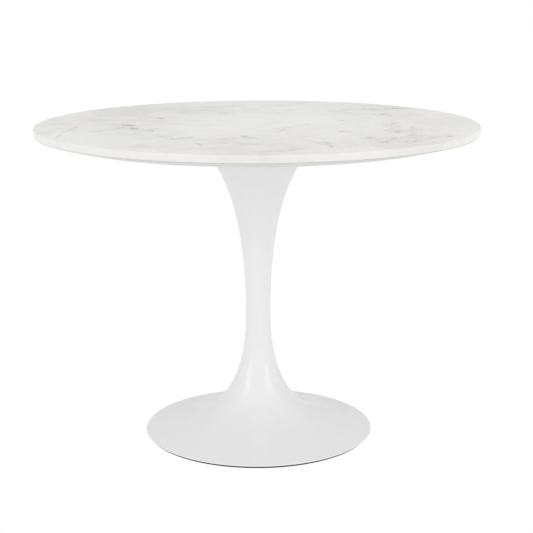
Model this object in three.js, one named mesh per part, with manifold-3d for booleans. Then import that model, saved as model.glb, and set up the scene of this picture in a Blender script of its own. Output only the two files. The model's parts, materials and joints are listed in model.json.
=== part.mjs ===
// Round pedestal table: a marble slab on a painted board, carried by a one-piece trumpet pedestal.
// Millimetres, +Z up. The origin is on the floor, on the axis of the pedestal.
// A rod down the column pulls the top onto the mouth of the pedestal, and undoing it parts the two.

import * as THREE from 'three';
import { mergeVertices } from 'three/addons/utils/BufferGeometryUtils.js';
import Module from 'manifold-3d';

// ---- Driving dimensions ----

const TABLE_HEIGHT = 737;
const GAP = 0.3; // between pieces that touch
const CUT_OVERRUN = 1; // a hole's cutter runs past the face by this much

const TOP_RADIUS = 508;
const SLAB_THICKNESS = 16;
const SLAB_ARRIS = 1.5;

const BOARD_THICKNESS = 16;
const BOARD_SETBACK = 1.5;
const BOARD_LAND = 1;
const BOARD_BEVEL_WIDTH = 60;

const FLOOR_RING_HEIGHT = 5;
const FLOOR_RING_OUTER_RADIUS = 265;
const FLOOR_RING_INNER_RADIUS = 249;
const FLOOR_RING_CHAMFER = 0.8;

const WALL = 5;
const FOOT_RADIUS = 270;
const LIP_HEIGHT = 2.4;
const LIP_ROUND = 1.2;
const RIM_LAND = 28;
const FOOT_SLOPE = 0.1; // radians above level at the rim
const KNEE = new THREE.Vector2(132, 46);
const KNEE_SLOPE = 0.473;
const KNEE_REACH = 96;
const NECK = new THREE.Vector2(29, 284);
const NECK_REACH_DOWN = 84;
const NECK_REACH_UP = 188;
const MOUTH_RADIUS = 155;
const MOUTH_SLOPE = 0.6;
const MOUTH_REACH = 120;
const MOUTH_LIP = 8;
const WEB_TOP = 124;
const WEB_THICKNESS = 8;
const WEB_HOLE_RADIUS = 7;

const PLATE_RADIUS = 125;
const PLATE_THICKNESS = 5;
const PLATE_BOLT_COUNT = 6;
const PLATE_BOLT_CIRCLE = 95;
const SOCKET_RADIUS = 18;
const SOCKET_LENGTH = 30;

const BOLT_RADIUS = 3;
const BOLT_LENGTH = 17;
const BOLT_FLANGE_RADIUS = 6.6;
const BOLT_FLANGE_THICKNESS = 1.6;
const BOLT_HEAD_FLATS = 10;
const BOLT_HEAD_HEIGHT = 4.4;

const INSERT_RADIUS = 5;
const INSERT_LENGTH = 13;
const INSERT_HOLE_DEPTH = 14;

const ROD_RADIUS = 6;
const ROD_CHAMFER = 1;
const ROD_ENGAGEMENT = 25;
const ROD_TAIL = 8;
const CLAMP_WASHER_RADIUS = 25;
const CLAMP_WASHER_THICKNESS = 4;
const SPRING_WASHER_RADIUS = 10.5;
const SPRING_WASHER_THICKNESS = 3;
const SPRING_WASHER_SLIT = 0.2; // radians
const NUT_FLATS = 19;
const NUT_HEIGHT = 10;

const BALLAST_OUTER_RADIUS = 190;
const BALLAST_INNER_RADIUS = 60;
const BALLAST_THICKNESS = 7;
const BALLAST_UNDERSIDE = 6;
const BALLAST_SCREW_COUNT = 6;
const BALLAST_SCREW_CIRCLE = 150;
const BALLAST_SCREW_TURN = Math.PI / 6;
const BOSS_RADIUS = 8;
const BOSS_HOLE_DEPTH = 12;
const SCREW_RADIUS = 2.5;
const SCREW_LENGTH = 16;
const SCREW_HEAD_RADIUS = 4.75;
const SCREW_HEAD_HEIGHT = 2.7;
const SCREW_SOCKET_FLATS = 3;
const SCREW_SOCKET_DEPTH = 1.5;

const TOP_SIDES = 80;
const PEDESTAL_SIDES = 60;
const PLATE_SIDES = 40;
const FASTENER_SIDES = 16;
const HEXAGON = 6;
const CURVE_STEPS = 6; // along each of the pedestal's three curves
const ARC_STEPS = 2;

// ---- Derived heights and radii ----

const SLAB_UNDERSIDE = TABLE_HEIGHT - SLAB_THICKNESS;
const BOARD_TOP = SLAB_UNDERSIDE - GAP;
const BOARD_UNDERSIDE = BOARD_TOP - BOARD_THICKNESS;
const PLATE_TOP = BOARD_UNDERSIDE - GAP;
const PLATE_UNDERSIDE = PLATE_TOP - PLATE_THICKNESS;
const SOCKET_TOP = PLATE_UNDERSIDE - GAP;
const SOCKET_UNDERSIDE = SOCKET_TOP - SOCKET_LENGTH;
const MOUTH_TOP = BOARD_UNDERSIDE - GAP;
const RIM_UNDERSIDE = FLOOR_RING_HEIGHT + GAP;
const WEB_UNDERSIDE = WEB_TOP - WEB_THICKNESS;
const CLAMP_WASHER_UNDERSIDE = WEB_UNDERSIDE - GAP - CLAMP_WASHER_THICKNESS;
const SPRING_WASHER_UNDERSIDE = CLAMP_WASHER_UNDERSIDE - GAP - SPRING_WASHER_THICKNESS;
const NUT_UNDERSIDE = SPRING_WASHER_UNDERSIDE - GAP - NUT_HEIGHT;
const BALLAST_TOP = BALLAST_UNDERSIDE + BALLAST_THICKNESS;
const BOSS_UNDERSIDE = BALLAST_TOP + GAP;
const BOSS_HOLE_RADIUS = SCREW_RADIUS + GAP;
const THREAD_HOLE_RADIUS = ROD_RADIUS + GAP;
const INSERT_HOLE_RADIUS = BOLT_RADIUS + GAP;

// ---- Materials ----

function finish(color, roughness, metalness) {
  return new THREE.MeshStandardMaterial({ color, roughness, metalness });
}

const marble = () => finish(0xe6e4df, 0.25, 0);
const boardLacquer = () => finish(0xe6e6e4, 0.45, 0);
const whiteLacquer = () => finish(0xf0f0ef, 0.2, 0.1);
const blackRubber = () => finish(0x1c1c1d, 0.85, 0);
const zincSteel = () => finish(0xb4b7ba, 0.4, 0.9);
const blackSteel = () => finish(0x2b2d2f, 0.5, 0.6);
const brass = () => finish(0xb08d4a, 0.35, 0.9);

// ---- Solids ----

const wasm = await Module();
wasm.setup();

const MERGE_DISTANCE = 1e-4;

function cornersDiffer(a, b, c) {
  return a !== b && b !== c && c !== a;
}

function solidOf(geometry) {
  const bare = geometry.clone();
  bare.deleteAttribute('normal');
  bare.deleteAttribute('uv');
  const merged = mergeVertices(bare, MERGE_DISTANCE);
  const corners = [];
  const index = merged.index.array;
  for (let i = 0; i < index.length; i += 3) {
    const [a, b, c] = index.slice(i, i + 3);
    if (cornersDiffer(a, b, c)) {
      corners.push(a, b, c);
    }
  }
  const vertProperties = new Float32Array(merged.attributes.position.array);
  const triVerts = new Uint32Array(corners);
  return new wasm.Manifold(new wasm.Mesh({ numProp: 3, vertProperties, triVerts }));
}

function geometryOf(solid) {
  const mesh = solid.getMesh();
  const geometry = new THREE.BufferGeometry();
  geometry.setAttribute('position', new THREE.BufferAttribute(mesh.vertProperties, 3));
  geometry.setIndex(new THREE.BufferAttribute(mesh.triVerts, 1));
  geometry.computeVertexNormals();
  return geometry;
}

// A profile runs anticlockwise around the section: x is the radius and y is the height.
function turned(profile, sides) {
  const points = profile.map((point) => new THREE.Vector2(...point));
  return new THREE.LatheGeometry(points, sides).rotateX(Math.PI / 2);
}

function turnedRing(profile, sides) {
  return turned([...profile, profile[0]], sides);
}

function rod(radius, bottom, top, sides = FASTENER_SIDES) {
  const middle = (bottom + top) / 2;
  return new THREE.CylinderGeometry(radius, radius, top - bottom, sides)
    .rotateX(Math.PI / 2)
    .translate(0, 0, middle);
}

// The radius at a hexagon's corners, from its width across the flats.
function cornerRadius(flats) {
  return flats / 2 / Math.cos(Math.PI / HEXAGON);
}

function hexagon(flats, bottom, top) {
  return rod(cornerRadius(flats), bottom, top, HEXAGON);
}

function circlePoints(radius, sides, centre = new THREE.Vector2()) {
  const points = [];
  for (let i = 0; i < sides; i += 1) {
    const angle = (2 * Math.PI * i) / sides;
    points.push(new THREE.Vector2(Math.cos(angle), Math.sin(angle)).multiplyScalar(radius).add(centre));
  }
  return points;
}

function extruded(outline, holes, bottom, top) {
  const shape = new THREE.Shape(outline);
  shape.holes = holes.map((hole) => new THREE.Path(hole));
  const settings = { depth: top - bottom, bevelEnabled: false };
  return new THREE.ExtrudeGeometry(shape, settings).translate(0, 0, bottom);
}

// Places spaced evenly around the axis.
function around(count, radius, turn = 0) {
  return circlePoints(radius, count).map((place) => place.rotateAround(new THREE.Vector2(), turn));
}

function arc(centreX, centreY, radius, from, to) {
  const points = [];
  for (let i = 0; i <= ARC_STEPS; i += 1) {
    const angle = from + ((to - from) * i) / ARC_STEPS;
    points.push([centreX + radius * Math.cos(angle), centreY + radius * Math.sin(angle)]);
  }
  return points;
}

// ---- The top ----

function slab() {
  const edge = TOP_RADIUS - SLAB_ARRIS;
  const lowerArris = arc(edge, SLAB_UNDERSIDE + SLAB_ARRIS, SLAB_ARRIS, -Math.PI / 2, 0);
  const upperArris = arc(edge, TABLE_HEIGHT - SLAB_ARRIS, SLAB_ARRIS, 0, Math.PI / 2);
  return turned([[0, SLAB_UNDERSIDE], ...lowerArris, ...upperArris, [0, TABLE_HEIGHT]], TOP_SIDES);
}

function board() {
  const edge = TOP_RADIUS - BOARD_SETBACK;
  const profile = [
    [0, BOARD_UNDERSIDE],
    [edge - BOARD_BEVEL_WIDTH, BOARD_UNDERSIDE],
    [edge, BOARD_TOP - BOARD_LAND],
    [edge, BOARD_TOP],
    [0, BOARD_TOP],
  ];
  let solid = solidOf(turned(profile, TOP_SIDES));
  const holeBottom = BOARD_UNDERSIDE - CUT_OVERRUN;
  const hole = solidOf(rod(INSERT_RADIUS + GAP, holeBottom, BOARD_UNDERSIDE + INSERT_HOLE_DEPTH));
  for (const place of around(PLATE_BOLT_COUNT, PLATE_BOLT_CIRCLE)) {
    solid = solid.subtract(hole.translate(place.x, place.y, 0));
  }
  return geometryOf(solid);
}

function boardInsert() {
  const bottom = BOARD_UNDERSIDE + GAP;
  const top = bottom + INSERT_LENGTH;
  const profile = [
    [INSERT_HOLE_RADIUS, bottom],
    [INSERT_RADIUS, bottom],
    [INSERT_RADIUS, top],
    [INSERT_HOLE_RADIUS, top],
  ];
  return turnedRing(profile, FASTENER_SIDES);
}

// ---- The plate under the top ----

function mountingPlate() {
  const holes = around(PLATE_BOLT_COUNT, PLATE_BOLT_CIRCLE)
    .map((place) => circlePoints(BOLT_RADIUS + GAP, FASTENER_SIDES, place));
  return extruded(circlePoints(PLATE_RADIUS, PLATE_SIDES), holes, PLATE_UNDERSIDE, PLATE_TOP);
}

function rodSocket() {
  const profile = [
    [THREAD_HOLE_RADIUS, SOCKET_UNDERSIDE],
    [SOCKET_RADIUS, SOCKET_UNDERSIDE],
    [SOCKET_RADIUS, SOCKET_TOP],
    [THREAD_HOLE_RADIUS, SOCKET_TOP],
  ];
  return turnedRing(profile, PLATE_SIDES);
}

function plateBolt() {
  const seat = PLATE_UNDERSIDE - GAP;
  const flangeBottom = seat - BOLT_FLANGE_THICKNESS;
  const flangeMiddle = seat - BOLT_FLANGE_THICKNESS / 2;
  const shank = solidOf(rod(BOLT_RADIUS, flangeMiddle, seat + BOLT_LENGTH));
  const flange = solidOf(rod(BOLT_FLANGE_RADIUS, flangeBottom, seat));
  const head = solidOf(hexagon(BOLT_HEAD_FLATS, flangeBottom - BOLT_HEAD_HEIGHT, flangeMiddle));
  return geometryOf(shank.add(flange).add(head));
}

// ---- The pedestal ----

function heading(slope) {
  return new THREE.Vector2(-Math.cos(slope), Math.sin(slope));
}

// The outside of the pedestal is three curves that run on smoothly: foot, lower stem, upper stem.
function outsideCurves() {
  const rimPoint = new THREE.Vector2(FOOT_RADIUS - LIP_ROUND, RIM_UNDERSIDE + LIP_HEIGHT);
  const footReach = rimPoint.distanceTo(KNEE) / 3;
  const kneeHeading = heading(KNEE_SLOPE);
  const down = new THREE.Vector2(0, -1);
  const mouthPoint = new THREE.Vector2(MOUTH_RADIUS, MOUTH_TOP);
  const backFromMouth = new THREE.Vector2(-Math.cos(MOUTH_SLOPE), -Math.sin(MOUTH_SLOPE));
  const foot = new THREE.CubicBezierCurve(
    rimPoint,
    rimPoint.clone().addScaledVector(heading(FOOT_SLOPE), footReach),
    KNEE.clone().addScaledVector(kneeHeading, -footReach),
    KNEE,
  );
  const lowerStem = new THREE.CubicBezierCurve(
    KNEE,
    KNEE.clone().addScaledVector(kneeHeading, KNEE_REACH),
    NECK.clone().addScaledVector(down, NECK_REACH_DOWN),
    NECK,
  );
  const upperStem = new THREE.CubicBezierCurve(
    NECK,
    NECK.clone().addScaledVector(down, -NECK_REACH_UP),
    mouthPoint.clone().addScaledVector(backFromMouth, MOUTH_REACH),
    mouthPoint,
  );
  return [foot, lowerStem, upperStem];
}

// Points along the outside, moved inwards, square to the surface, by the given depth.
function outsideAtDepth(depth) {
  const points = [];
  outsideCurves().forEach((curve, order) => {
    const first = order === 0 ? 0 : 1;
    for (let i = first; i <= CURVE_STEPS; i += 1) {
      const along = i / CURVE_STEPS;
      const tangent = curve.getTangent(along);
      const inward = new THREE.Vector2(-tangent.y, tangent.x);
      points.push(curve.getPoint(along).addScaledVector(inward, depth));
    }
  });
  return points;
}

function radiusAtHeight(points, height) {
  const above = points.findIndex((point) => point.y > height);
  const [low, high] = [points[above - 1], points[above]];
  return THREE.MathUtils.mapLinear(height, low.y, high.y, low.x, high.x);
}

function pedestalShell() {
  const landInnerRadius = FOOT_RADIUS - RIM_LAND;
  const outside = outsideAtDepth(0).map((point) => [point.x, point.y]);
  const inside = outsideAtDepth(WALL);
  const stemInside = inside.filter((point) => point.y > WEB_TOP + WALL && point.y < MOUTH_TOP - WALL);
  const footInside = inside.filter((point) => point.x < landInnerRadius && point.y < WEB_UNDERSIDE - WALL);
  const profile = [
    [landInnerRadius, RIM_UNDERSIDE],
    [FOOT_RADIUS - LIP_ROUND, RIM_UNDERSIDE],
    [FOOT_RADIUS, RIM_UNDERSIDE + LIP_ROUND],
    ...outside,
    [MOUTH_RADIUS - MOUTH_LIP, MOUTH_TOP],
    ...stemInside.reverse().map((point) => [point.x, point.y]),
    [radiusAtHeight(inside, WEB_TOP), WEB_TOP],
    [WEB_HOLE_RADIUS, WEB_TOP],
    [WEB_HOLE_RADIUS, WEB_UNDERSIDE],
    [radiusAtHeight(inside, WEB_UNDERSIDE), WEB_UNDERSIDE],
    ...footInside.reverse().map((point) => [point.x, point.y]),
  ];
  return solidOf(turnedRing(profile, PEDESTAL_SIDES));
}

// A screw boss rises to the middle of the shell's wall.
function screwBosses() {
  const core = outsideAtDepth(WALL / 2).filter((point) => point.y < WEB_TOP);
  const profile = [[0, RIM_UNDERSIDE], ...core.map((point) => [point.x, point.y]), [0, WEB_TOP]];
  const underWall = solidOf(turned(profile, PEDESTAL_SIDES));
  const post = solidOf(rod(BOSS_RADIUS, BOSS_UNDERSIDE, WEB_TOP));
  const places = around(BALLAST_SCREW_COUNT, BALLAST_SCREW_CIRCLE, BALLAST_SCREW_TURN);
  return places.map((place) => post.translate(place.x, place.y, 0).intersect(underWall));
}

function pedestal() {
  let solid = pedestalShell();
  for (const boss of screwBosses()) {
    solid = solid.add(boss);
  }
  const holeBottom = BOSS_UNDERSIDE - CUT_OVERRUN;
  const hole = solidOf(rod(BOSS_HOLE_RADIUS, holeBottom, BOSS_UNDERSIDE + BOSS_HOLE_DEPTH));
  for (const place of around(BALLAST_SCREW_COUNT, BALLAST_SCREW_CIRCLE, BALLAST_SCREW_TURN)) {
    solid = solid.subtract(hole.translate(place.x, place.y, 0));
  }
  return geometryOf(solid);
}

// ---- The rod and what clamps it ----

function tieRod() {
  const bottom = NUT_UNDERSIDE - ROD_TAIL;
  const top = SOCKET_UNDERSIDE + ROD_ENGAGEMENT;
  const profile = [
    [0, bottom],
    [ROD_RADIUS - ROD_CHAMFER, bottom],
    [ROD_RADIUS, bottom + ROD_CHAMFER],
    [ROD_RADIUS, top - ROD_CHAMFER],
    [ROD_RADIUS - ROD_CHAMFER, top],
    [0, top],
  ];
  return turned(profile, FASTENER_SIDES);
}

function clampWasher() {
  const bottom = CLAMP_WASHER_UNDERSIDE;
  const outline = circlePoints(CLAMP_WASHER_RADIUS, PLATE_SIDES);
  const hole = circlePoints(WEB_HOLE_RADIUS, FASTENER_SIDES);
  return extruded(outline, [hole], bottom, bottom + CLAMP_WASHER_THICKNESS);
}

function springWasher() {
  const ring = new THREE.Shape();
  const end = 2 * Math.PI - SPRING_WASHER_SLIT;
  ring.absarc(0, 0, SPRING_WASHER_RADIUS, 0, end, false);
  ring.absarc(0, 0, THREAD_HOLE_RADIUS, end, 0, true);
  const settings = { depth: SPRING_WASHER_THICKNESS, bevelEnabled: false, curveSegments: FASTENER_SIDES / 2 };
  return new THREE.ExtrudeGeometry(ring, settings).translate(0, 0, SPRING_WASHER_UNDERSIDE);
}

function clampNut() {
  const outline = circlePoints(cornerRadius(NUT_FLATS), HEXAGON);
  const hole = circlePoints(THREAD_HOLE_RADIUS, FASTENER_SIDES);
  return extruded(outline, [hole], NUT_UNDERSIDE, NUT_UNDERSIDE + NUT_HEIGHT);
}

// ---- Inside and under the foot ----

function ballastPlate() {
  const access = circlePoints(BALLAST_INNER_RADIUS, PLATE_SIDES);
  const screwHoles = around(BALLAST_SCREW_COUNT, BALLAST_SCREW_CIRCLE, BALLAST_SCREW_TURN)
    .map((place) => circlePoints(BOSS_HOLE_RADIUS, FASTENER_SIDES, place));
  const outline = circlePoints(BALLAST_OUTER_RADIUS, PEDESTAL_SIDES);
  return extruded(outline, [access, ...screwHoles], BALLAST_UNDERSIDE, BALLAST_TOP);
}

function ballastScrew() {
  const seat = BALLAST_UNDERSIDE - GAP;
  const headBottom = seat - SCREW_HEAD_HEIGHT;
  const crown = SCREW_HEAD_RADIUS / 2;
  const profile = [
    [0, headBottom],
    [crown, headBottom],
    [SCREW_HEAD_RADIUS, seat - SCREW_HEAD_HEIGHT / 3],
    [SCREW_HEAD_RADIUS, seat],
    [SCREW_RADIUS, seat],
    [SCREW_RADIUS, seat + SCREW_LENGTH],
    [0, seat + SCREW_LENGTH],
  ];
  const body = solidOf(turned(profile, FASTENER_SIDES));
  const socketTop = headBottom + SCREW_SOCKET_DEPTH;
  const socket = hexagon(SCREW_SOCKET_FLATS, headBottom - CUT_OVERRUN, socketTop);
  return geometryOf(body.subtract(solidOf(socket)));
}

function floorRing() {
  const [inner, outer] = [FLOOR_RING_INNER_RADIUS, FLOOR_RING_OUTER_RADIUS];
  const profile = [
    [inner + FLOOR_RING_CHAMFER, 0],
    [outer - FLOOR_RING_CHAMFER, 0],
    [outer, FLOOR_RING_CHAMFER],
    [outer, FLOOR_RING_HEIGHT],
    [inner, FLOOR_RING_HEIGHT],
    [inner, FLOOR_RING_CHAMFER],
  ];
  return turnedRing(profile, PEDESTAL_SIDES);
}

// ---- Assembly ----

function named(name, geometry, material) {
  const mesh = new THREE.Mesh(geometry, material);
  mesh.name = name;
  return mesh;
}

function repeated(name, geometry, makeMaterial, places) {
  return places.map((place, order) => {
    const mesh = named(`${name}_${order + 1}`, geometry, makeMaterial());
    mesh.position.set(place.x, place.y, 0);
    return mesh;
  });
}

function tableTop() {
  const boltPlaces = around(PLATE_BOLT_COUNT, PLATE_BOLT_CIRCLE);
  const top = new THREE.Group();
  top.add(named('marble_slab', slab(), marble()));
  top.add(named('backing_board', board(), boardLacquer()));
  top.add(named('mounting_plate', mountingPlate(), blackSteel()));
  top.add(named('rod_socket', rodSocket(), blackSteel()));
  top.add(...repeated('board_insert', boardInsert(), brass, boltPlaces));
  top.add(...repeated('plate_bolt', plateBolt(), zincSteel, boltPlaces));
  return top;
}

function base() {
  const screwPlaces = around(BALLAST_SCREW_COUNT, BALLAST_SCREW_CIRCLE, BALLAST_SCREW_TURN);
  const foot = new THREE.Group();
  foot.add(named('pedestal', pedestal(), whiteLacquer()));
  foot.add(named('ballast_plate', ballastPlate(), blackSteel()));
  foot.add(...repeated('ballast_screw', ballastScrew(), zincSteel, screwPlaces));
  foot.add(named('floor_ring', floorRing(), blackRubber()));
  return foot;
}

function clamping() {
  const clamp = new THREE.Group();
  clamp.add(named('tie_rod', tieRod(), zincSteel()));
  clamp.add(named('clamp_washer', clampWasher(), zincSteel()));
  clamp.add(named('spring_washer', springWasher(), zincSteel()));
  clamp.add(named('clamp_nut', clampNut(), zincSteel()));
  return clamp;
}

const table = new THREE.Group();
table.add(tableTop(), base(), clamping());

export default table;
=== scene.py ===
"""Looks of a round pedestal table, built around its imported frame.

Metres, +Z up, origin on the floor on the axis of the pedestal. Every piece is shaped again here, in the
place of its CAD node, with fine outlines and procedural materials.
"""

import json
import math

import bmesh
import bpy
from mathutils import Matrix, Vector
from mathutils.geometry import interpolate_bezier


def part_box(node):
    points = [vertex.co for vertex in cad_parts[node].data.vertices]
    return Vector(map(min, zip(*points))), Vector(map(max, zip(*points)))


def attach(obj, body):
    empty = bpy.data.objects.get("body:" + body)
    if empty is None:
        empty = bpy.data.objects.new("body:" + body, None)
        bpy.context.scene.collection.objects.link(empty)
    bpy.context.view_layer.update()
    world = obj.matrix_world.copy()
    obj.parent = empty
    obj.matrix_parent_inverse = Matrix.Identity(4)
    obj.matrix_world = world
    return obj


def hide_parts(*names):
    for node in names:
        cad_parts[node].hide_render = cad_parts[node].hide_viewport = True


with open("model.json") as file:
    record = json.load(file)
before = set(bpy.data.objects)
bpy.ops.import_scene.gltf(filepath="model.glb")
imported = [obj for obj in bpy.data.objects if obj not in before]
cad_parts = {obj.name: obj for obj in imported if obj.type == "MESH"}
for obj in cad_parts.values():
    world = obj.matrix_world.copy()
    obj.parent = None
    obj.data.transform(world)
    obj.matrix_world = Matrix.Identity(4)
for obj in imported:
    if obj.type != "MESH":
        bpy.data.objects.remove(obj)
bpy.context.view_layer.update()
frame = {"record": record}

# ---- Driving dimensions, in metres and radians ----

FULL_TURN = 2 * math.pi
TOP_SIDES = 288
PEDESTAL_SIDES = 216
PLATE_SIDES = 144
FASTENER_SIDES = 48
HEXAGON = 6
ROUNDING_STEPS = 6
SMOOTH_BELOW = math.radians(32)
EDGE = 0.0005  # rounding of a machined edge
CUT_OVERRUN = 0.001  # a hole's cutter runs past the face by this much
GAP = 0.0003  # between pieces that touch

SLAB_ARRIS = 0.0015
SLAB_RINGS = 24  # rings of faces across the top
BOARD_BEVEL_WIDTH = 0.060
BOARD_BEVEL_ROUND = 0.003
BOARD_LAND = 0.001
BOARD_ROUND = 0.0006
INSERT_HOLE_RADIUS = 0.0053
INSERT_HOLE_DEPTH = 0.014
INSERT_BORE = 0.0033
INSERT_RIDGES = 6
INSERT_RIDGE_DEPTH = 0.0005

FASTENERS_IN_RING = 6
PLATE_HOLE_RADIUS = 0.0033
BOLT_RADIUS = 0.003
BOLT_LENGTH = 0.017
BOLT_TIP = 0.0006
BOLT_FLANGE_RADIUS = 0.0066
BOLT_FLANGE_THICKNESS = 0.0016
BOLT_HEAD_FLATS = 0.010

WALL = 0.005
RIM_LAND = 0.028
LIP_HEIGHT = 0.0024
LIP_ROUND = 0.0012
LIP_UNDERSIDE_ROUND = 0.0007
FOOT_SLOPE = 0.1
KNEE = Vector((0.132, 0.046))
KNEE_SLOPE = 0.473
KNEE_REACH = 0.096
NECK = Vector((0.029, 0.284))
NECK_REACH_DOWN = 0.084
NECK_REACH_UP = 0.188
MOUTH_RADIUS = 0.155
MOUTH_SLOPE = 0.6
MOUTH_REACH = 0.120
MOUTH_LIP = 0.008
MOUTH_ROUND = 0.0008
CURVE_POINTS = 40  # along each of the pedestal's three curves
LIP_POINTS = 2  # points at each end of the outside that give way to the lips' roundings
WEB_TOP = 0.124
WEB_THICKNESS = 0.008
WEB_UNDERSIDE = WEB_TOP - WEB_THICKNESS
WEB_HOLE_RADIUS = 0.007
WEB_FILLET = 0.004
BOSS_RADIUS = 0.008
BOSS_DRAFT = 0.003  # a boss is this much wider at its root
BOSS_ROOT = 0.07  # the height, inside the wall, up to which a boss is made before it is trimmed
BOSS_HOLE_RADIUS = 0.0028
BOSS_HOLE_DEPTH = 0.012

FLOOR_RING_WIDTH = 0.016
FLOOR_RING_LOWER_ROUND = 0.0012
FLOOR_RING_UPPER_ROUND = 0.0004
BALLAST_BORE = 0.060
BALLAST_ROUND = 0.0012
SCREW_RADIUS = 0.0025
SCREW_LENGTH = 0.016
SCREW_HEAD_RADIUS = 0.00475
SCREW_HEAD_LAND = 0.0005  # the straight stretch of the head's edge
SCREW_HEAD_CROWN = 0.0024  # radius of the head's flat crown
SCREW_SOCKET_FLATS = 0.003
SCREW_SOCKET_DEPTH = 0.0015

ROD_RADIUS = 0.006
ROD_SHANK_RADIUS = 0.0054
ROD_CHAMFER = 0.001
THREAD_PITCH = 0.00175
THREAD_DEPTH = 0.0009
THREAD_LENGTH = 0.042
THREAD_STEPS = 6  # rings of points in each turn of thread
THREAD_BORE = 0.0063
NUT_FLATS = 0.019
HEXAGON_CHAMFER = math.radians(30)  # at the corners of a nut or a bolt head
SPRING_WASHER_SLIT = 0.2

# ---- Lights and camera ----

BACK_LIGHT = 0.83
FRONT_LIGHT = 1.15
BACK_TO_FRONT = (0.8, -0.8)  # the Y of a direction, over which one turns into the other
HIGH_SHARE = 0.93  # the light from high up, as a share of the light from the horizon
HIGH_RISE = (0.2, 0.6)  # the Z of a direction, where that share sets in
OVERHEAD_LIGHT = 0.33
OVERHEAD_RISE = (0.80, 0.95)  # the Z of a direction, where the overhead light sets in
FLOOR_GLOW = 0.54
FLOOR_RADIUS = 40
SOFTBOX_POWER = 7.0
SOFTBOX_DISTANCE = 3.0
SOFTBOX_WIDTH = 1.2
SOFTBOX_HEIGHT = 1.4
SOFTBOX_AIM = Vector((0.0, 0.0, 0.15))
SOFTBOX_ELEVATION = 23  # degrees
SOFTBOX_AZIMUTHS = {"softbox_left": -54, "softbox_right": 51}  # degrees

CAMERA_PLACE = Vector((0.0, -3.0515, 1.1076))
CAMERA_LENS = 89.9  # mm
CAMERA_SENSOR = 36  # mm
CAMERA_NEAREST = 0.1
CAMERA_FARTHEST = 200
CAMERA_DOWN = 0.2279
CAMERA_RIGHT = 0.0066
CAMERA_ROLL = -0.0034


# ---- Shapes ----

def shown(name, mesh):
    """Puts a mesh in the scene as an object, smooth across gentle edges and crisp at sharp ones."""
    mesh.shade_smooth()
    mesh.set_sharp_from_angle(angle=SMOOTH_BELOW)
    piece = bpy.data.objects.new(name, mesh)
    bpy.context.scene.collection.objects.link(piece)
    return piece


def rounded(corners):
    """The outline through corners of (radius, height, rounding), with an arc at each rounding."""
    outline = []
    for before, here, after in zip(corners[-1:] + corners[:-1], corners, corners[1:] + corners[:1]):
        corner = Vector(here[:2])
        rounding = here[2]
        if rounding == 0:
            outline.append(tuple(corner))
            continue
        back = (Vector(before[:2]) - corner).normalized()
        onward = (Vector(after[:2]) - corner).normalized()
        half = back.angle(onward) / 2
        centre = corner + (back + onward).normalized() * rounding / math.sin(half)
        start = corner + back * rounding / math.tan(half) - centre
        turn = math.pi - 2 * half
        side = math.copysign(1, start.x * onward.y - start.y * onward.x)
        for step in range(ROUNDING_STEPS + 1):
            angle = side * turn * step / ROUNDING_STEPS
            x = start.x * math.cos(angle) - start.y * math.sin(angle)
            y = start.x * math.sin(angle) + start.y * math.cos(angle)
            outline.append((centre.x + x, centre.y + y))
    return outline


def disc(radius, bottom, top, rounding=0):
    """The outline of a disc or a pin."""
    return rounded([(0, bottom, 0), (radius, bottom, rounding), (radius, top, rounding), (0, top, 0)])


def ring(inner, outer, bottom, top, rounding, upper_rounding=None):
    """The outline of a ring of rectangular section."""
    upper = rounding if upper_rounding is None else upper_rounding
    return rounded([
        (inner, bottom, rounding),
        (outer, bottom, rounding),
        (outer, top, upper),
        (inner, top, upper),
    ])


def bridge(solid, lower, upper):
    """Faces between two rings of points. A ring on the axis is a single point."""
    count = max(len(lower), len(upper))
    if count == 1:
        return
    for i in range(count):
        j = (i + 1) % count
        below = [lower[i % len(lower)], lower[j % len(lower)]]
        above = [upper[j % len(upper)], upper[i % len(upper)]]
        solid.faces.new(list(dict.fromkeys(below + above)))


def circle(radius, height, sides, place=(0, 0)):
    """A ring of points, or one point where the radius is 0. A radius can be a function of the angle."""
    if radius == 0:
        return [(*place, height)]
    points = []
    for i in range(sides):
        angle = FULL_TURN * i / sides
        here = radius(angle) if callable(radius) else radius
        points.append((place[0] + here * math.cos(angle), place[1] + here * math.sin(angle), height))
    return points


def lofted(name, stacks):
    """Solids that run from ring to ring of points, and from each one's last ring back to its first."""
    solid = bmesh.new()
    for rings in stacks:
        made = [[solid.verts.new(point) for point in points] for points in rings]
        for lower, upper in zip(made, made[1:] + made[:1]):
            bridge(solid, lower, upper)
    mesh = bpy.data.meshes.new(name)
    solid.to_mesh(mesh)
    solid.free()
    return shown(name, mesh)


def turned(name, outline, sides, places=((0, 0),)):
    """Solids of revolution from one closed outline, run anticlockwise, standing at the places."""
    stacks = []
    for place in places:
        stacks.append([circle(radius, height, sides, place) for radius, height in outline])
    return lofted(name, stacks)


def combined(piece, tool, operation):
    """The piece joined with, cut by or limited to the tool, which is used up."""
    modifier = piece.modifiers.new("combine", "BOOLEAN")
    modifier.operation = operation
    modifier.solver = "EXACT"
    modifier.object = tool
    graph = bpy.context.evaluated_depsgraph_get()
    mesh = bpy.data.meshes.new_from_object(piece.evaluated_get(graph))
    name = piece.name
    bpy.data.objects.remove(piece)
    bpy.data.objects.remove(tool)
    mesh.name = name
    return shown(name, mesh)


def hexagonal(name, flats, bottom, top):
    """A hexagonal prism whose corners are chamfered at both ends, as on a nut."""
    across = flats / 2
    corner = across / math.cos(math.pi / HEXAGON)
    beyond = corner + EDGE
    rise = (beyond - across) * math.tan(HEXAGON_CHAMFER)
    prism = turned(name, disc(corner, bottom - CUT_OVERRUN, top + CUT_OVERRUN), HEXAGON)
    barrel = [
        (0, bottom),
        (across, bottom),
        (beyond, bottom + rise),
        (beyond, top - rise),
        (across, top),
        (0, top),
    ]
    return combined(prism, turned("barrel", barrel, FASTENER_SIDES), "INTERSECT")


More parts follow.
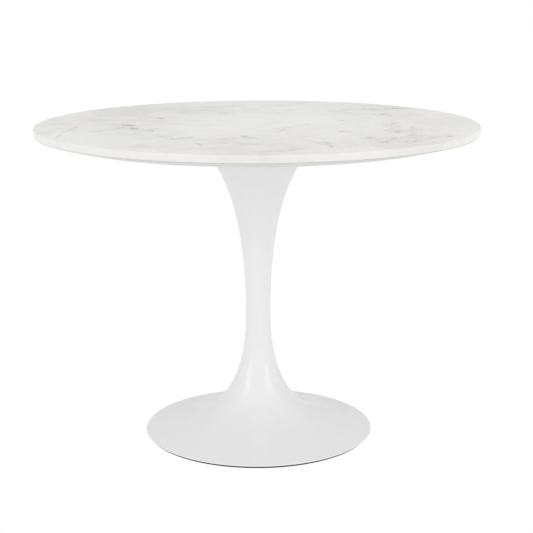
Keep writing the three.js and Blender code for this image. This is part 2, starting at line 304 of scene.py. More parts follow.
def places_of(node):
    """The centres, seen from above, of a fastener's numbered copies."""
    centres = []
    for number in range(1, FASTENERS_IN_RING + 1):
        low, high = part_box(f"{node}_{number}")
        middle = (low + high) / 2
        centres.append((middle.x, middle.y))
    return centres


def heights_of(node):
    """The heights of a node's underside and top."""
    low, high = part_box(node)
    return low.z, high.z


# ---- The top ----

def marble_top():
    low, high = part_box("marble_slab")
    radius = high.x
    face_radius = radius - 2 * SLAB_ARRIS
    face_radii = [face_radius * (step + 1) / (SLAB_RINGS + 1) for step in range(SLAB_RINGS)]
    under = [(0, low.z), *((r, low.z) for r in face_radii)]
    edge = disc(radius, low.z, high.z, SLAB_ARRIS)[1:-1]
    face = [*((r, high.z) for r in reversed(face_radii)), (0, high.z)]
    return turned("marble_top", under + edge + face, TOP_SIDES)


def board():
    low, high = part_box("backing_board")
    radius = high.x
    outline = rounded([
        (0, low.z, 0),
        (radius - BOARD_BEVEL_WIDTH, low.z, BOARD_BEVEL_ROUND),
        (radius, high.z - BOARD_LAND, BOARD_ROUND),
        (radius, high.z, BOARD_ROUND / 2),
        (0, high.z, 0),
    ])
    piece = turned("bevelled_board", outline, TOP_SIDES)
    hole = disc(INSERT_HOLE_RADIUS, low.z - CUT_OVERRUN, low.z + INSERT_HOLE_DEPTH)
    holes = turned("insert_holes", hole, FASTENER_SIDES, places_of("board_insert"))
    return combined(piece, holes, "DIFFERENCE")


def board_insert():
    """A brass insert ridged all the way up, made on the axis."""
    low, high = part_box("board_insert_1")
    radius = (high.x - low.x) / 2
    pitch = (high.z - low.z) / INSERT_RIDGES
    outline = [(INSERT_BORE, low.z), (radius - INSERT_RIDGE_DEPTH, low.z)]
    for ridge in range(INSERT_RIDGES):
        foot = low.z + ridge * pitch
        outline.append((radius, foot + pitch / 2))
        outline.append((radius - INSERT_RIDGE_DEPTH, foot + pitch))
    outline.append((INSERT_BORE, high.z))
    return turned("ridged_insert", outline, FASTENER_SIDES)


# ---- The plate under the top ----

def mounting_plate():
    bottom, top = heights_of("mounting_plate")
    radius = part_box("mounting_plate")[1].x
    piece = turned("steel_plate", disc(radius, bottom, top, EDGE), PLATE_SIDES)
    hole = disc(PLATE_HOLE_RADIUS, bottom - CUT_OVERRUN, top + CUT_OVERRUN)
    holes = turned("bolt_holes", hole, FASTENER_SIDES, places_of("plate_bolt"))
    return combined(piece, holes, "DIFFERENCE")


def rod_socket():
    bottom, top = heights_of("rod_socket")
    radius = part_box("rod_socket")[1].x
    return turned("threaded_socket", ring(THREAD_BORE, radius, bottom, top, 2 * EDGE), PLATE_SIDES)


def plate_bolt():
    """A hexagon bolt with a flange, head down, made on the axis."""
    bottom, top = heights_of("plate_bolt_1")
    seat = top - BOLT_LENGTH
    flange_bottom = seat - BOLT_FLANGE_THICKNESS
    shank = [
        (0, flange_bottom),
        (BOLT_RADIUS, flange_bottom),
        (BOLT_RADIUS, top - BOLT_TIP),
        (BOLT_RADIUS - BOLT_TIP, top),
        (0, top),
    ]
    flange = [
        (0, flange_bottom - EDGE),
        (BOLT_HEAD_FLATS / 2, flange_bottom - EDGE),
        (BOLT_FLANGE_RADIUS, seat - BOLT_FLANGE_THICKNESS / 2),
        (BOLT_FLANGE_RADIUS, seat),
        (0, seat),
    ]
    head = hexagonal("head", BOLT_HEAD_FLATS, bottom, seat - EDGE)
    piece = turned("flange_bolt", shank, FASTENER_SIDES)
    piece = combined(piece, turned("flange", flange, FASTENER_SIDES), "UNION")
    return combined(piece, head, "UNION")


# ---- The pedestal ----

def heading(slope):
    """The direction inwards and up, at a slope above level."""
    return Vector((-math.cos(slope), math.sin(slope)))


def outside_curve(rim_underside, mouth_top):
    """The outside of the pedestal: foot, lower stem and upper stem, running on smoothly."""
    rim = Vector((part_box("pedestal")[1].x - LIP_ROUND, rim_underside + LIP_HEIGHT))
    mouth = Vector((MOUTH_RADIUS, mouth_top))
    foot_reach = (KNEE - rim).length / 3
    up = Vector((0, 1))
    back_from_mouth = Vector((-math.cos(MOUTH_SLOPE), -math.sin(MOUTH_SLOPE)))
    stretches = [
        (rim, rim + heading(FOOT_SLOPE) * foot_reach, KNEE - heading(KNEE_SLOPE) * foot_reach, KNEE),
        (KNEE, KNEE + heading(KNEE_SLOPE) * KNEE_REACH, NECK - up * NECK_REACH_DOWN, NECK),
        (NECK, NECK + up * NECK_REACH_UP, mouth + back_from_mouth * MOUTH_REACH, mouth),
    ]
    points = [rim]
    for stretch in stretches:
        points += interpolate_bezier(*stretch, CURVE_POINTS)[1:]
    return [Vector(point[:2]) for point in points]


def moved_in(points, depth):
    """The points moved square to their curve, into the wall."""
    moved = []
    for i, point in enumerate(points):
        before = points[max(i - 1, 0)]
        after = points[min(i + 1, len(points) - 1)]
        along = (after - before).normalized()
        moved.append(point + Vector((-along.y, along.x)) * depth)
    return moved


def radius_at(points, height):
    """The radius where a rising line of points passes a height."""
    above = next(i for i, point in enumerate(points) if point.y > height)
    low, high = points[above - 1], points[above]
    return low.x + (high.x - low.x) * (height - low.y) / (high.y - low.y)


def foot_lip(land_radius, low, high, first_outside):
    """The lip of the foot, from the inner edge of its land up to the first point of the outside."""
    return rounded([
        (land_radius, low.z, 0),
        (high.x, low.z, LIP_UNDERSIDE_ROUND),
        (high.x, low.z + LIP_HEIGHT, LIP_ROUND),
        (*first_outside, 0),
    ])[:-1]


def mouth_lip(top, last_outside, last_inside):
    """The lip of the mouth, across the wall from its outside to its inside."""
    return rounded([
        (*last_outside, 0),
        (MOUTH_RADIUS, top, MOUTH_ROUND),
        (MOUTH_RADIUS - MOUTH_LIP, top, MOUTH_ROUND),
        (*last_inside, 0),
    ])[1:-1]


def web(inside, lowest_of_stem, highest_of_foot):
    """The web across the stem, filleted into the wall above and below."""
    return rounded([
        (*lowest_of_stem, 0),
        (radius_at(inside, WEB_TOP), WEB_TOP, WEB_FILLET),
        (WEB_HOLE_RADIUS, WEB_TOP, EDGE),
        (WEB_HOLE_RADIUS, WEB_UNDERSIDE, EDGE),
        (radius_at(inside, WEB_UNDERSIDE), WEB_UNDERSIDE, WEB_FILLET),
        (*highest_of_foot, 0),
    ])[1:-1]


def pedestal():
    low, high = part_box("pedestal")
    outside = outside_curve(low.z, high.z)
    inside = moved_in(outside, WALL)
    land_radius = high.x - RIM_LAND
    wall = outside[LIP_POINTS:-LIP_POINTS]
    stem = [p for p in inside if WEB_TOP + 2 * WEB_FILLET < p.y < high.z - WALL]
    foot = [p for p in inside if p.x < land_radius and p.y < WEB_UNDERSIDE - 2 * WEB_FILLET]
    outline = [
        *foot_lip(land_radius, low, high, wall[0]),
        *(tuple(p) for p in wall),
        *mouth_lip(high.z, wall[-1], stem[-1]),
        *(tuple(p) for p in reversed(stem)),
        *web(inside, stem[0], foot[-1]),
        *(tuple(p) for p in reversed(foot)),
    ]
    return with_bosses(turned("trumpet_pedestal", outline, PEDESTAL_SIDES), outside)


def with_bosses(piece, outside):
    """The pedestal with its cast screw bosses, which rise to the middle of the wall."""
    places = places_of("ballast_screw")
    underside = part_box("ballast_plate")[1].z + GAP
    core = [point for point in moved_in(outside, WALL / 2) if point.y < WEB_TOP]
    core_outline = [(0, core[0].y), *(tuple(p) for p in core), (0, core[-1].y)]
    under_wall = turned("under_wall", core_outline, PEDESTAL_SIDES)
    post = rounded([
        (0, underside, 0),
        (BOSS_RADIUS, underside, 2 * EDGE),
        (BOSS_RADIUS + BOSS_DRAFT, BOSS_ROOT, 0),
        (0, BOSS_ROOT, 0),
    ])
    posts = turned("posts", post, FASTENER_SIDES, places)
    hole = disc(BOSS_HOLE_RADIUS, underside - CUT_OVERRUN, underside + BOSS_HOLE_DEPTH)
    posts = combined(posts, under_wall, "INTERSECT")
    piece = combined(piece, posts, "UNION")
    return combined(piece, turned("boss_holes", hole, FASTENER_SIDES, places), "DIFFERENCE")


# ---- Inside and under the foot ----

def floor_ring():
    bottom, top = heights_of("floor_ring")
    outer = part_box("floor_ring")[1].x
    inner = outer - FLOOR_RING_WIDTH
    outline = ring(inner, outer, bottom, top, FLOOR_RING_LOWER_ROUND, FLOOR_RING_UPPER_ROUND)
    return turned("rubber_floor_ring", outline, PEDESTAL_SIDES)


def ballast_plate():
    bottom, top = heights_of("ballast_plate")
    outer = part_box("ballast_plate")[1].x
    outline = ring(BALLAST_BORE, outer, bottom, top, BALLAST_ROUND)
    piece = turned("ballast_ring", outline, PEDESTAL_SIDES)
    hole = disc(BOSS_HOLE_RADIUS, bottom - CUT_OVERRUN, top + CUT_OVERRUN)
    holes = turned("screw_holes", hole, FASTENER_SIDES, places_of("ballast_screw"))
    return combined(piece, holes, "DIFFERENCE")


def ballast_screw():
    """A button head screw with a hexagon socket, head down, made on the axis."""
    bottom, top = heights_of("ballast_screw_1")
    seat = top - SCREW_LENGTH
    edge = seat - SCREW_HEAD_LAND
    dome = []
    for step in range(ROUNDING_STEPS + 1):
        angle = math.pi / 2 * step / ROUNDING_STEPS
        width = (SCREW_HEAD_RADIUS - SCREW_HEAD_CROWN) * math.sin(angle)
        dome.append((SCREW_HEAD_CROWN + width, edge - (edge - bottom) * math.cos(angle)))
    outline = [
        (0, bottom),
        *dome,
        (SCREW_HEAD_RADIUS, seat),
        (SCREW_RADIUS, seat),
        (SCREW_RADIUS, top - EDGE),
        (SCREW_RADIUS - EDGE, top),
        (0, top),
    ]
    corner = SCREW_SOCKET_FLATS / 2 / math.cos(math.pi / HEXAGON)
    socket = disc(corner, bottom - CUT_OVERRUN, bottom + SCREW_SOCKET_DEPTH)
    piece = turned("button_screw", outline, FASTENER_SIDES)
    return combined(piece, turned("socket", socket, HEXAGON), "DIFFERENCE")


# ---- The rod and what clamps it ----

def threaded_radius(height, from_end):
    """The rod's radius as a function of the angle: a helical thread, cut down at the chamfered tip."""
    def radius(angle):
        turns = height / THREAD_PITCH - angle / FULL_TURN
        wave = abs(2 * (turns % 1) - 1)
        return min(ROD_RADIUS - THREAD_DEPTH * wave, ROD_RADIUS - ROD_CHAMFER + from_end)
    return radius


def tie_rod():
    bottom, top = heights_of("tie_rod")
    steps = round(THREAD_LENGTH / THREAD_PITCH * THREAD_STEPS)
    depths = [THREAD_LENGTH * step / steps for step in range(steps + 1)]
    lower = [circle(threaded_radius(bottom + d, d), bottom + d, FASTENER_SIDES) for d in depths]
    upper = [circle(threaded_radius(top - d, d), top - d, FASTENER_SIDES) for d in reversed(depths)]
    shank = [
        circle(ROD_SHANK_RADIUS, bottom + THREAD_LENGTH + THREAD_PITCH, FASTENER_SIDES),
        circle(ROD_SHANK_RADIUS, top - THREAD_LENGTH - THREAD_PITCH, FASTENER_SIDES),
    ]
    rings = [[(0, 0, bottom)], *lower, *shank, *upper, [(0, 0, top)]]
    return lofted("threaded_rod", [rings])


def clamp_washer():
    bottom, top = heights_of("clamp_washer")
    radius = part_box("clamp_washer")[1].x
    return turned("flat_washer", ring(WEB_HOLE_RADIUS, radius, bottom, top, EDGE), PLATE_SIDES)


def spring_washer():
    """A square ring with a slit."""
    bottom, top = heights_of("spring_washer")
    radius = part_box("spring_washer")[1].x
    section = ring(THREAD_BORE, radius, bottom, top, EDGE)
    solid = bmesh.new()
    sections = []
    for i in range(FASTENER_SIDES + 1):
        angle = (FULL_TURN - SPRING_WASHER_SLIT) * i / FASTENER_SIDES
        points = [(r * math.cos(angle), r * math.sin(angle), z) for r, z in section]
        sections.append([solid.verts.new(point) for point in points])
    for before, after in zip(sections, sections[1:]):
        bridge(solid, after, before)
    solid.faces.new(sections[0])
    solid.faces.new(reversed(sections[-1]))
    mesh = bpy.data.meshes.new("split_washer")
    solid.to_mesh(mesh)
    solid.free()
    return shown("split_washer", mesh)


def clamp_nut():
    bottom, top = heights_of("clamp_nut")
    piece = hexagonal("hexagon_nut", NUT_FLATS, bottom, top)
    bore = disc(THREAD_BORE, bottom - CUT_OVERRUN, top + CUT_OVERRUN)
    return combined(piece, turned("bore", bore, FASTENER_SIDES), "DIFFERENCE")


# ---- Materials ----

# The numbers of a Mix node's sockets for colours.
MIX_SHARE = 0
MIX_FIRST = 6
MIX_SECOND = 7
MIX_RESULT = 2


class Nodes:
    """Short calls that add nodes to a tree. An input is a number, a colour or a node's output."""

    def __init__(self, tree):
        self.tree = tree

    def place(self, space="Object"):
        return self.node("ShaderNodeTexCoord", {}).outputs[space]

    def node(self, kind, inputs, settings=None):
        made = self.tree.nodes.new(kind)
        for name, value in (settings or {}).items():
            setattr(made, name, value)
        for name, value in inputs.items():
            if isinstance(value, bpy.types.NodeSocket):
                self.tree.links.new(value, made.inputs[name])
            else:
                made.inputs[name].default_value = value
        return made

    def spread(self, value, low, high, to_low=0.0, to_high=1.0):
        """Runs smoothly from to_low to to_high as the value goes from low to high."""
        inputs = {
            "Value": value,
            "From Min": low,
            "From Max": high,
            "To Min": to_low,
            "To Max": to_high,
        }
        settings = {"interpolation_type": "SMOOTHSTEP"}
        return self.node("ShaderNodeMapRange", inputs, settings).outputs["Result"]

    def maths(self, operation, first, second=0.0):
        return self.node("ShaderNodeMath", {0: first, 1: second}, {"operation": operation}).outputs[0]

    def vector_maths(self, operation, first, second=(0.0, 0.0, 0.0), output="Vector"):
        made = self.node("ShaderNodeVectorMath", {0: first, 1: second}, {"operation": operation})
        return made.outputs[output]

    def show_to_camera(self, seen, otherwise, output):
        """The camera sees one shader, and light that bounces off the table meets the other."""
        to_camera = self.node("ShaderNodeLightPath", {}).outputs["Is Camera Ray"]
        choice = self.node("ShaderNodeMixShader", {0: to_camera, 1: otherwise, 2: seen})
        self.tree.links.new(choice.outputs[0], output.inputs["Surface"])


class Look(Nodes):
    """A Principled material with procedural nodes."""

    def __init__(self, name, **settings):
        self.material = bpy.data.materials.new(name)
        self.material.use_nodes = True
        super().__init__(self.material.node_tree)
        self.shader = self.tree.nodes["Principled BSDF"]
        for socket, value in settings.items():
            self.shader.inputs[socket.replace("_", " ")].default_value = value
        self.here = self.place()

    def noise(self, scale, detail=3.0, roughness=0.5, distortion=0.0, place=None):
        inputs = {
            "Vector": place or self.here,
            "Scale": scale,
            "Detail": detail,
            "Roughness": roughness,
            "Distortion": distortion,
        }
        return self.node("ShaderNodeTexNoise", inputs).outputs["Fac"]

    def flattened(self, place):
        """The place brought to height 0."""
        return self.vector_maths("MULTIPLY", place, (1.0, 1.0, 0.0))

    def warped(self, place, scale, reach):
        """The place shifted about level by noise, up to half the reach each way."""
        drift = self.node("ShaderNodeTexNoise", {"Vector": place, "Scale": scale, "Detail": 3.0})
        shift = self.vector_maths("SUBTRACT", drift.outputs["Color"], (0.5, 0.5, 0.5))
        shift = self.vector_maths("MULTIPLY", shift, (reach, reach, 0.0))
        return self.vector_maths("ADD", place, shift)

    def mix(self, share, first, second):
        inputs = {MIX_SHARE: share, MIX_FIRST: first, MIX_SECOND: second}
        return self.node("ShaderNodeMix", inputs, {"data_type": "RGBA"}).outputs[MIX_RESULT]

    def bump(self, height, distance, strength=1.0):
        inputs = {"Height": height, "Distance": distance, "Strength": strength}
        normal = self.node("ShaderNodeBump", inputs)
        self.tree.links.new(normal.outputs["Normal"], self.shader.inputs["Normal"])

    def feed(self, socket, value):
        self.tree.links.new(value, self.shader.inputs[socket])


def grey(level, warmth=0.0):
    """A linear colour, near neutral, that loses blue and gains a little red as warmth rises."""
    return (level * (1 + 0.25 * warmth), level, level * (1 - warmth), 1.0)


# The marble's marks, placed on the table top in metres.
# Pitted stretches hold small dark marks: start, end, reach to each side and strength.
MARBLE_PITS = (
    ((-0.305, -0.015), (-0.285, -0.03), 0.027, 0.95),
    ((-0.28, -0.08), (-0.27, -0.09), 0.027, 1.00),
    ((-0.29, -0.03), (-0.275, -0.08), 0.034, 0.60),
    ((-0.24, -0.11), (-0.235, -0.13), 0.022, 0.80),
    ((-0.22, -0.21), (-0.19, -0.23), 0.030, 0.55),
    ((-0.18, -0.265), (-0.14, -0.24), 0.026, 0.85),
    ((-0.225, 0.115), (-0.225, 0.095), 0.020, 0.90),
    ((-0.38, 0.20), (-0.36, 0.19), 0.034, 0.45),
    ((-0.07, -0.27), (-0.05, -0.25), 0.030, 0.60),
    ((-0.03, -0.22), (-0.01, -0.26), 0.030, 0.65),
    ((0.05, -0.45), (0.08, -0.41), 0.028, 0.60),
    ((0.14, -0.33), (0.155, -0.40), 0.026, 0.50),
    ((0.185, -0.15), (0.195, -0.16), 0.026, 0.65),
    ((0.195, 0.06), (0.205, 0.04), 0.026, 0.55),
    ((0.28, 0.29), (0.31, 0.28), 0.036, 0.75),
    ((0.30, 0.18), (0.31, 0.15), 0.038, 0.75),
    ((0.33, 0.31), (0.36, 0.30), 0.034, 0.75),
    ((0.31, 0.00), (0.30, -0.17), 0.042, 0.65),
    ((0.25, -0.25), (0.31, -0.26), 0.050, 0.70),
    ((0.26, -0.33), (0.31, -0.31), 0.050, 0.70),
    ((0.35, -0.08), (0.34, -0.23), 0.034, 0.60),
    ((0.37, -0.255), (0.41, -0.235), 0.038, 0.65),
)
# Cracks are fine broken lines: start, end and strength.
MARBLE_CRACKS = (
    ((-0.43, -0.225), (-0.418, -0.10), 0.40),
    ((-0.418, -0.10), (-0.405, -0.05), 0.85),
    ((-0.36, -0.145), (-0.30, -0.06), 0.95),
    ((-0.125, -0.33), (-0.11, -0.37), 0.60),
    ((0.03, -0.17), (0.05, -0.15), 0.60),
    ((0.05, -0.15), (0.075, -0.07), 0.60),
    ((0.075, -0.07), (0.115, -0.015), 0.70),
    ((0.065, 0.015), (0.10, 0.00), 0.50),
    ((0.115, -0.015), (0.18, 0.06), 0.20),
    ((0.17, 0.26), (0.23, 0.21), 0.55),
    ((0.14, -0.32), (0.15, -0.40), 0.55),
)
MARBLE_CRACK_WIDTH = 0.0055
# Clouds are soft grey areas, laid over one another: middle, radius and strength.
MARBLE_CLOUDS = (
    ((-0.24, 0.31), 0.32, 0.90),
    ((-0.34, 0.12), 0.20, 0.55),
    ((-0.42, -0.03), 0.20, 0.60),
    ((-0.27, -0.02), 0.14, 0.35),
    ((-0.26, -0.17), 0.16, 0.55),
    ((-0.14, -0.29), 0.16, 0.40),
    ((-0.25, -0.38), 0.14, 0.40),
    ((0.02, -0.38), 0.26, 0.55),
    ((0.05, -0.13), 0.10, 0.20),
    ((0.05, 0.44), 0.22, 0.50),
    ((0.31, 0.30), 0.26, 0.65),
    ((0.31, 0.12), 0.16, 0.40),
    ((0.46, 0.02), 0.22, 0.55),
    ((0.31, -0.31), 0.22, 0.55),
    ((0.19, -0.10), 0.16, 0.25),
)
# Part of the stone is a colder grey: middle and radius.
MARBLE_COLD_PLACE = (-0.37, -0.22, 0.737)
MARBLE_COLD_RADIUS = 0.26
# The clouds are fainter on the slab's edge as painted light, which makes the edge paler than the top.
MARBLE_PAINTED_LIT_EDGE_CLOUDS = 0.5  # how much of the clouds shows on the slab's edge
MARBLE_PALE = grey(0.774, 0.040)
MARBLE_COLD = grey(0.756, 0.012)
MARBLE_CLOUD = grey(0.60, 0.058)
MARBLE_MOTTLE = grey(0.58, 0.05)
MARBLE_LINE = grey(0.36, 0.12)
MARBLE_MARK = grey(0.20, 0.14)


def from_stroke(look, flat, start, end):
    """The distance of a place, brought to height 0, from a straight stroke."""
    start, end = Vector((*start, 0)), Vector((*end, 0))
    stroke = end - start
    offset = look.vector_maths("SUBTRACT", flat, start)
    along = look.vector_maths("DOT_PRODUCT", offset, stroke / stroke.length_squared, "Value")
    along = look.node("ShaderNodeClamp", {"Value": along}).outputs[0]
    nearest = look.node("ShaderNodeVectorMath", {0: stroke, "Scale": along}, {"operation": "SCALE"})
    return look.vector_maths("DISTANCE", offset, nearest.outputs[0], "Value")


def marble_clouds(look, swirl):
    """How grey the stone is: soft noise, the listed clouds, and wisps over them."""
    flat = look.flattened(swirl)
    drift = look.noise(6.0, detail=5.0, roughness=0.6, distortion=0.2, place=swirl)
    clouds = look.spread(drift, 0.45, 0.70, 0.0, 0.40)
    for middle, radius, strength in MARBLE_CLOUDS:
        distance = look.vector_maths("DISTANCE", flat, (*middle, 0.0), "Value")
        clouds = look.maths("ADD", clouds, look.spread(distance, 0.0, radius, strength, 0.0))
    wisps = look.noise(20.0, detail=6.0, roughness=0.65, distortion=0.5, place=swirl)
    clouds = look.maths("MULTIPLY", clouds, look.spread(wisps, 0.34, 0.62, 0.55, 1.15))
    return look.maths("ADD", clouds, look.spread(wisps, 0.48, 0.66, 0.0, 0.20))


def marble_pits(look, ragged):
    """How dark the small marks are, and how near a place is to the middle of a pitted stretch."""
    flat = look.flattened(ragged)
    near = 0.0
    for start, end, reach, strength in MARBLE_PITS:
        distance = from_stroke(look, flat, start, end)
        near = look.maths("MAXIMUM", near, look.spread(distance, 0.0, reach, strength, 0.0))
    blots = look.noise(85.0, detail=4.0, roughness=0.6, distortion=0.5, place=ragged)
    blots = look.maths("ADD", blots, look.maths("MULTIPLY", near, 0.14))
    marks = look.maths("MULTIPLY", look.spread(blots, 0.58, 0.72), near)
    cores = look.spread(near, 0.70, 1.0, 0.0, 0.75)
    return look.maths("MAXIMUM", marks, cores), near


def marble_cracks(look, ragged):
    """How dark the cracks are, with paler breaks along them."""
    flat = look.flattened(ragged)
    cracks = 0.0
    for start, end, strength in MARBLE_CRACKS:
        distance = from_stroke(look, flat, start, end)
        line = look.spread(distance, 0.0, MARBLE_CRACK_WIDTH, strength, 0.0)
        cracks = look.maths("MAXIMUM", cracks, line)
    breaks = look.spread(look.noise(26.0, roughness=0.6, place=ragged), 0.36, 0.52, 0.20, 1.0)
    return look.maths("MULTIPLY", cracks, breaks)


def marble_threads(look, ragged):
    """Faint threads that run everywhere, where a noise crosses its middle value."""
    level = look.noise(4.5, detail=7.0, roughness=0.62, distortion=0.9, place=ragged)
    ridge = look.maths("ABSOLUTE", look.maths("SUBTRACT", level, 0.5))
    threads = look.spread(ridge, 0.0, 0.008, 0.25, 0.0)
    return look.maths("MULTIPLY", threads, look.spread(look.noise(8.0), 0.48, 0.60))


def marble_painted_lit_edge(look):
    """1 on the faces of the slab, and less on its edge, where the clouds are fainter: painted light,
    which makes the edge paler than the faces.
    """
    from_axis = look.vector_maths("LENGTH", look.flattened(look.here), output="Value")
    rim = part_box("marble_slab")[1].x
    return look.spread(from_axis, rim - SLAB_ARRIS, rim, 1.0, MARBLE_PAINTED_LIT_EDGE_CLOUDS)


def marble():
    look = Look("marble", Specular_IOR_Level=0.5, IOR=1.5)
    swirl = look.warped(look.here, 7.0, 0.05)
    ragged = look.warped(look.warped(look.here, 9.0, 0.016), 60.0, 0.010)
    marks, near = marble_pits(look, ragged)
    lines = look.maths("MAXIMUM", marble_cracks(look, ragged), marble_threads(look, ragged))
    clouds = look.maths("ADD", marble_clouds(look, swirl), look.maths("MULTIPLY", near, 0.35))
    # Painted light: the clouds fade on the slab's edge, so the edge is paler than the top.
    clouds = look.maths("MULTIPLY", clouds, marble_painted_lit_edge(look))
    from_cold = look.vector_maths("DISTANCE", swirl, MARBLE_COLD_PLACE, "Value")
    cold = look.spread(from_cold, MARBLE_COLD_RADIUS / 2, MARBLE_COLD_RADIUS, 1.0, 0.0)
    mottle = look.noise(60.0, detail=5.0, roughness=0.6)
    colour = look.mix(cold, MARBLE_PALE, MARBLE_COLD)
    colour = look.mix(clouds, colour, MARBLE_CLOUD)
    colour = look.mix(look.spread(mottle, 0.40, 0.75, 0.0, 0.10), colour, MARBLE_MOTTLE)
    colour = look.mix(lines, colour, MARBLE_LINE)
    colour = look.mix(marks, colour, MARBLE_MARK)
    look.feed("Base Color", colour)
    look.feed("Roughness", look.spread(look.noise(6.0), 0.3, 0.7, 0.22, 0.26))
    look.bump(look.noise(900.0, detail=2.0), distance=0.00002, strength=0.05)
    return look.material


def white_lacquer():
    """A satin white under a thin gloss coat, with a trace of orange peel."""
    look = Look("white_lacquer", Specular_IOR_Level=0.1)
    look.shader.inputs["Coat Weight"].default_value = 0.35
    look.shader.inputs["Coat Roughness"].default_value = 0.04
    look.shader.inputs["Coat IOR"].default_value = 2.0
    drift = look.noise(6.0)
    peel = look.noise(420.0, detail=2.0)
    colour = look.mix(look.spread(drift, 0.3, 0.7), grey(0.79), grey(0.795, 0.001))
    look.feed("Base Color", colour)
    look.feed("Roughness", look.spread(drift, 0.3, 0.7, 0.40, 0.46))
    look.bump(peel, distance=0.00004, strength=0.3)
    return look.material


def board_lacquer():
    """Sprayed paint on board."""
    look = Look("board_lacquer", Specular_IOR_Level=0.4)
    drift = look.noise(9.0, detail=4.0)
    spray = look.noise(900.0)
    look.feed("Base Color", look.mix(look.spread(drift, 0.35, 0.65), grey(0.655), grey(0.675)))
    look.feed("Roughness", look.spread(spray, 0.3, 0.7, 0.38, 0.5))
    look.bump(spray, distance=0.00005, strength=0.4)
    return look.material


def black_rubber():
    """Matte rubber with dust in patches."""
    look = Look("black_rubber", Specular_IOR_Level=0.35)
    dust = look.noise(60.0, detail=5.0)
    grain = look.noise(1500.0, detail=2.0)
    colour = look.mix(look.spread(dust, 0.4, 0.75), grey(0.022), grey(0.06, 0.02))
    look.feed("Base Color", colour)
    look.feed("Roughness", look.spread(grain, 0.3, 0.7, 0.7, 0.9))
    look.bump(grain, distance=0.0001, strength=0.5)
    return look.material


def black_steel():
    """Steel under uneven black paint."""
    look = Look("black_steel", Specular_IOR_Level=0.5)
    mottle = look.noise(45.0, detail=5.0)
    colour = look.mix(look.spread(mottle, 0.35, 0.7), grey(0.028), grey(0.05, 0.01))
    look.feed("Base Color", colour)
    look.feed("Roughness", look.spread(mottle, 0.3, 0.7, 0.42, 0.6))
    look.bump(look.noise(800.0, detail=2.0), distance=0.00006, strength=0.5)
    return look.material


def zinc_steel():
    """Zinc plating, clouded as it is on fasteners."""
    look = Look("zinc_steel", Metallic=1.0)
    clouds = look.noise(160.0, detail=4.0)
    colour = look.mix(look.spread(clouds, 0.35, 0.7), grey(0.58, -0.01), grey(0.68, 0.01))
    look.feed("Base Color", colour)
    look.feed("Roughness", look.spread(clouds, 0.3, 0.7, 0.28, 0.42))
    look.bump(look.noise(1200.0, detail=2.0), distance=0.00003, strength=0.5)
    return look.material


def brass():
    look = Look("brass_insert", Metallic=1.0)
    clouds = look.noise(200.0, detail=4.0)
    colour = look.mix(look.spread(clouds, 0.35, 0.7), (0.66, 0.47, 0.19, 1), (0.74, 0.56, 0.27, 1))
    look.feed("Base Color", colour)
    look.feed("Roughness", look.spread(clouds, 0.3, 0.7, 0.3, 0.42))
    return look.material


# ---- Studio ----

def floor():
    """A pale floor that glows like the walls around it. The camera sees it as plain white."""
    bpy.ops.mesh.primitive_circle_add(vertices=PLATE_SIDES, radius=FLOOR_RADIUS, fill_type="NGON")
    piece = bpy.context.object
    piece.name = "studio_floor"
    look = Look("floor", Base_Color=grey(0.40), Roughness=0.9, Specular_IOR_Level=0.1)
    look.shader.inputs["Emission Color"].default_value = grey(1.0)
    look.shader.inputs["Emission Strength"].default_value = FLOOR_GLOW
    white = look.node("ShaderNodeEmission", {"Color": grey(1.0), "Strength": 1.0}).outputs[0]
    look.show_to_camera(white, look.shader.outputs[0], look.tree.nodes["Material Output"])
    piece.data.materials.append(look.material)


def surroundings():
    """White to the camera. What lights the table is brighter in front and overhead than behind."""
    world = bpy.data.worlds.new("studio")
    bpy.context.scene.world = world
    world.use_nodes = True
    sky = Nodes(world.node_tree)
    direction = sky.node("ShaderNodeSeparateXYZ", {0: sky.place("Generated")}).outputs
    level = sky.spread(direction["Y"], *BACK_TO_FRONT, BACK_LIGHT, FRONT_LIGHT)
    high = sky.spread(direction["Z"], *HIGH_RISE, 1.0, HIGH_SHARE)
    overhead = sky.spread(direction["Z"], *OVERHEAD_RISE, 0.0, OVERHEAD_LIGHT)
    strength = sky.maths("ADD", sky.maths("MULTIPLY", level, high), overhead)
    around = sky.node("ShaderNodeBackground", {"Color": grey(1.0), "Strength": strength})
    backdrop = sky.node("ShaderNodeBackground", {"Color": grey(1.0)})
    sky.show_to_camera(backdrop.outputs[0], around.outputs[0], sky.tree.nodes["World Output"])


def softbox(name, azimuth):
    """A lit panel facing the lower stem. Azimuth 0 is in front, growing to the right."""
    light = bpy.data.lights.new(name, "AREA")
    light.shape = "RECTANGLE"
    light.size = SOFTBOX_WIDTH
    light.size_y = SOFTBOX_HEIGHT
    light.energy = SOFTBOX_POWER
    lamp = bpy.data.objects.new(name, light)
    bpy.context.scene.collection.objects.link(lamp)
    turn = math.radians(azimuth)
    rise = math.radians(SOFTBOX_ELEVATION)
    level = math.cos(rise)
    out = Vector((math.sin(turn) * level, -math.cos(turn) * level, math.sin(rise)))
    lamp.location = SOFTBOX_AIM + out * SOFTBOX_DISTANCE
    lamp.rotation_euler = out.to_track_quat("Z", "Y").to_euler()
    return lamp


def lit_by(lamp, piece, state):
    """Limits a lamp to a piece (INCLUDE), or to everything else (EXCLUDE)."""
    receivers = bpy.data.collections.new(f"{lamp.name}_receivers")
    receivers.objects.link(piece)
    receivers.collection_objects[0].light_linking.link_state = state
    lamp.light_linking.receiver_collection = receivers


def softboxes():
    """The softboxes. The polished slab has their soft light, and doesn't mirror them."""
    slab = bpy.data.objects["marble_top"]
    for name, azimuth in SOFTBOX_AZIMUTHS.items():
        lit_by(softbox(name, azimuth), slab, "EXCLUDE")
        soft = softbox(f"{name}_on_slab", azimuth)
        soft.visible_glossy = False
        lit_by(soft, slab, "INCLUDE")


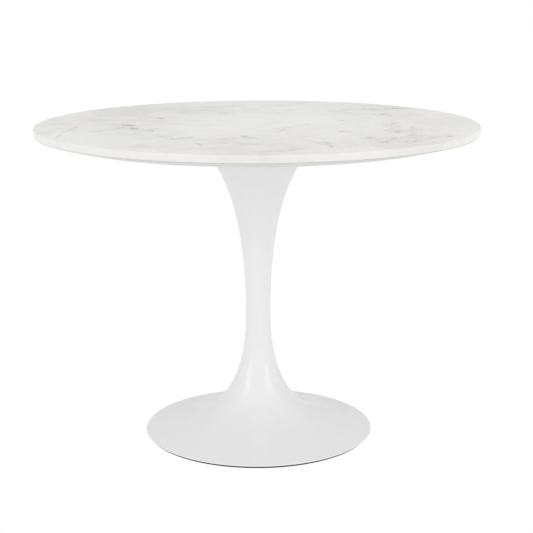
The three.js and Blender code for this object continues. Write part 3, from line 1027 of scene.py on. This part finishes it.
def camera():
    data = bpy.data.cameras.new("camera")
    data.lens = CAMERA_LENS
    data.sensor_width = CAMERA_SENSOR
    data.clip_start = CAMERA_NEAREST
    data.clip_end = CAMERA_FARTHEST
    body = bpy.data.objects.new("camera", data)
    bpy.context.scene.collection.objects.link(body)
    facing = (
        Matrix.Rotation(-CAMERA_RIGHT, 4, "Z")
        @ Matrix.Rotation(math.pi / 2 - CAMERA_DOWN, 4, "X")
        @ Matrix.Rotation(CAMERA_ROLL, 4, "Z")
    )
    body.matrix_world = Matrix.Translation(CAMERA_PLACE) @ facing
    bpy.context.scene.camera = body


# ---- Assembly ----

LOOKS = {
    "marble": marble,
    "board_lacquer": board_lacquer,
    "white_lacquer": white_lacquer,
    "black_rubber": black_rubber,
    "black_steel": black_steel,
    "zinc_steel": zinc_steel,
    "brass_insert": brass,
}
PIECES = {
    "marble_slab": marble_top,
    "backing_board": board,
    "mounting_plate": mounting_plate,
    "rod_socket": rod_socket,
    "pedestal": pedestal,
    "floor_ring": floor_ring,
    "ballast_plate": ballast_plate,
    "tie_rod": tie_rod,
    "clamp_washer": clamp_washer,
    "spring_washer": spring_washer,
    "clamp_nut": clamp_nut,
}
FASTENERS = {
    "board_insert": board_insert,
    "plate_bolt": plate_bolt,
    "ballast_screw": ballast_screw,
}


def finish_piece(piece, node, slots, materials):
    """Stands a piece for its CAD node, with the material of the node's slot."""
    piece.data.materials.clear()
    piece.data.materials.append(materials[slots[node]])
    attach(piece, "root")
    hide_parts(node)


def build():
    slots = {row["node"]: row["material_slot"] for row in frame["record"]["subparts"]}
    materials = {slot: make() for slot, make in LOOKS.items()}
    for node, make in PIECES.items():
        finish_piece(make(), node, slots, materials)
    for node, make in FASTENERS.items():
        first = make()
        name = first.name
        for number, place in enumerate(places_of(node), 1):
            copy = shown(f"{name}_{number}", first.data.copy())
            copy.location = (*place, 0)
            finish_piece(copy, f"{node}_{number}", slots, materials)
        bpy.data.objects.remove(first)


build()
floor()
surroundings()
softboxes()
camera()

view = bpy.context.scene.view_settings
view.view_transform = "Standard"
view.look = "None"
